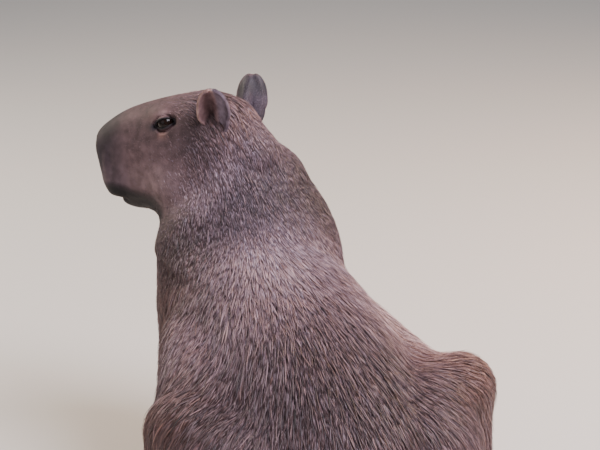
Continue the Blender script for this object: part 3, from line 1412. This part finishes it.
# %% Hair, skin, horn and eye
GREY_HAIR = [(0.0, "#1c171b"), (0.25, "#4d414b"), (0.5, "#8b7886"), (0.75, "#bba8b7"), (1.0, "#e6d9e4")]
RUSTY_HAIR = [(0.0, "#261a18"), (0.25, "#5e433c"), (0.5, "#a07668"), (0.75, "#cfa491"), (1.0, "#f2d3c0")]


def read(tree, attribute):
    return node(tree, "ShaderNodeAttribute", attribute_name=attribute).outputs["Fac"]


def marked_colour(tree):
    """The colour of the markings that a mesh carries as tone and warm."""
    tone, warm = (read(tree, word) for word in ("tone", "warm"))
    return mixed(tree, warm, ramp(tree, tone, GREY_HAIR), ramp(tree, tone, RUSTY_HAIR))


def fixed(tree, kind, **settings):
    """A texture that is fixed to the animal by its own coordinates."""
    place = node(tree, "ShaderNodeTexCoord").outputs["Object"]
    return node(tree, kind, [("Vector", place)], **settings).outputs["Fac"]


def grain(tree, shader, height, strength, distance):
    """Lets a texture stand out by a distance in metres."""
    rise = node(tree, "ShaderNodeBump", [("Height", height)], Strength=strength, Distance=distance)
    tree.links.new(rise.outputs["Normal"], shader.inputs["Normal"])


def make_hair():
    """Coarse bristles: dark at the root, paler at the tip, a faint gloss along each."""
    made, tree, shader = blank("coarse_hair", Roughness=0.50, IOR=1.55)
    shade = ramp(tree, read(tree, "along"), [(0.0, "#aca3a7"), (0.35, "#dcd6d9"), (0.8, "#ffffff")])
    tree.links.new(multiplied(tree, marked_colour(tree), shade), shader.inputs["Base Color"])
    return made


def make_leather(name, roughness, patches, dark, pale, pores, strength, depth):
    """Leathery skin: the colour of the markings, mottled by soft patches, with fine pores in relief."""
    made, tree, shader = blank(name, Roughness=roughness, IOR=1.45)
    mottle = ramp(tree, fixed(tree, "ShaderNodeTexNoise", **patches), [(0.3, dark), (0.7, pale)])
    tree.links.new(multiplied(tree, marked_colour(tree), mottle), shader.inputs["Base Color"])
    grain(tree, shader, fixed(tree, "ShaderNodeTexNoise", **pores), strength, depth)
    return made


def make_horn():
    """Worn dark horn with growth lines a few millimetres apart."""
    made, tree, shader = blank("horn", Roughness=0.42, IOR=1.54)
    lines = fixed(tree, "ShaderNodeTexWave", Scale=160, Distortion=2.0, bands_direction="Y")
    tree.links.new(ramp(tree, lines, [(0.2, "#1d1917"), (0.8, "#3a322e")]), shader.inputs["Base Color"])
    grain(tree, shader, lines, 0.3, 0.0004)
    return made


def make_eye_finish():
    """A wet near-black brown ball with the sharp gloss of the cornea."""
    made, tree, shader = blank("wet_eye", Roughness=0.12, IOR=1.376, Specular_IOR_Level=0.35)
    fibres = fixed(tree, "ShaderNodeTexNoise", Scale=500, Detail=3.0)
    tree.links.new(ramp(tree, fibres, [(0.3, "#0a0605"), (0.7, "#24130c")]), shader.inputs["Base Color"])
    return made


# The hide has pores about 2 mm apart. The thin leather of the ear is smoother, and mottled every 10 mm.
hair = make_hair()
hide_finish = make_leather("hide", 0.70, {"Scale": 60, "Detail": 3.0}, "#988d8a", "#dcd4d1",
                           {"Scale": 420, "Detail": 4.0, "Roughness": 0.6}, 0.5, 0.0008)
ear_skin = make_leather("ear_skin", 0.55, {"Scale": 90, "Detail": 4.0}, "#a89c9c", "#ffffff",
                        {"Scale": 700, "Detail": 2.0}, 0.4, 0.0006)
horn, wet_eye = make_horn(), make_eye_finish()


def dress(obj, material):
    obj.data.materials.clear()
    obj.data.materials.append(material)


skin_points, _ = points_of(skin.data)
skin_tone, skin_warm = markings(skin_points)
skin_behind, skin_out, skin_above = to_head(skin_points)
under_coat = 1 - (1 - step_up(skin_behind, 0.16, 0.24)) * (skin_above > -0.10) * (abs(skin_out) < 0.12)
keep_marks(skin.data, skin_tone * (0.95 - 0.12 * under_coat), skin_warm)
dress(skin, hide_finish)
for piece in coat:
    dress(piece, hair)
for word, piece in ears.items():
    keep_marks(piece.data, *ear_markings(*points_of(piece.data), SIDES[word])[:2])
    dress(piece, ear_skin)
for piece in claws:
    dress(piece, horn)
for piece in eyes.values():
    dress(piece, wet_eye)
print("materials:", [m.name for m in bpy.data.materials])

# %% [markdown]
# ## Say what stands for what
# The dressed pieces take the place of the plain solids, which stay hidden for collisions. The skin
# replaces all of the flesh at once, and the coat rides along with it.

# %% Ride, replace and name the slots
FLESH_NODES = ["head", "neck", "torso"] + [
    "%s_%s_%s" % (part, end, word) for part in ("leg", "foot") for end in ("front", "hind") for word in SIDES
]
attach(skin, "root")
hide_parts(*FLESH_NODES)
for piece in coat:
    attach(piece, "root")
for word in SIDES:
    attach(ears[word], "root")
    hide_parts("ear_" + word)
    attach(eyes[word], "root")
    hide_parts("eye_" + word)
for piece in claws:
    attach(piece, "root")

# %% [markdown]
# ## Floor and light
# A plain pale floor and large soft lamps show the form without hard shadows. The main lamp stands
# high behind the animal's right side, where it puts the grey gloss on the withers. A low warm one
# lights the right haunch, one in front rims the face, and a weak one on the left fills the shade.

# %% Floor
FLOOR_SIZE = 40.0


def make_floor():
    bm = bmesh.new()
    bmesh.ops.create_grid(bm, x_segments=1, y_segments=1, size=FLOOR_SIZE)
    floor = new_object("floor", bm, smooth=False)
    dress(floor, blank("pale_floor", Roughness=0.9, Base_Color=linear("#d8d6d0"))[0])


make_floor()


# %% Lamps
def lamp(name, azimuth, elevation, distance, size, power, colour):
    back = way_to(azimuth, elevation)
    data = bpy.data.lights.new(name, "AREA")
    data.shape = "DISK"
    data.size = size
    data.energy = power
    data.color = linear(colour)[:3]
    obj = add(name, data)
    obj.location = LOOK_AT + back * distance
    obj.rotation_euler = (-back).to_track_quat("-Z", "Y").to_euler()


lamp("main", 215, 54, 3.0, 1.8, 150, "#f7f2ff")
lamp("fill", 110, 25, 3.2, 2.6, 14, "#eef1ff")
lamp("edge", 278, 30, 3.0, 1.2, 85, "#ffcfa6")
lamp("rim", 35, 30, 3.0, 1.4, 60, "#fff0dc")
world = bpy.data.worlds.new("studio")
world.use_nodes = True
sky = world.node_tree.nodes["Background"]
sky.inputs["Color"].default_value = linear("#cfd4dc")
sky.inputs["Strength"].default_value = 0.45
bpy.context.scene.world = world
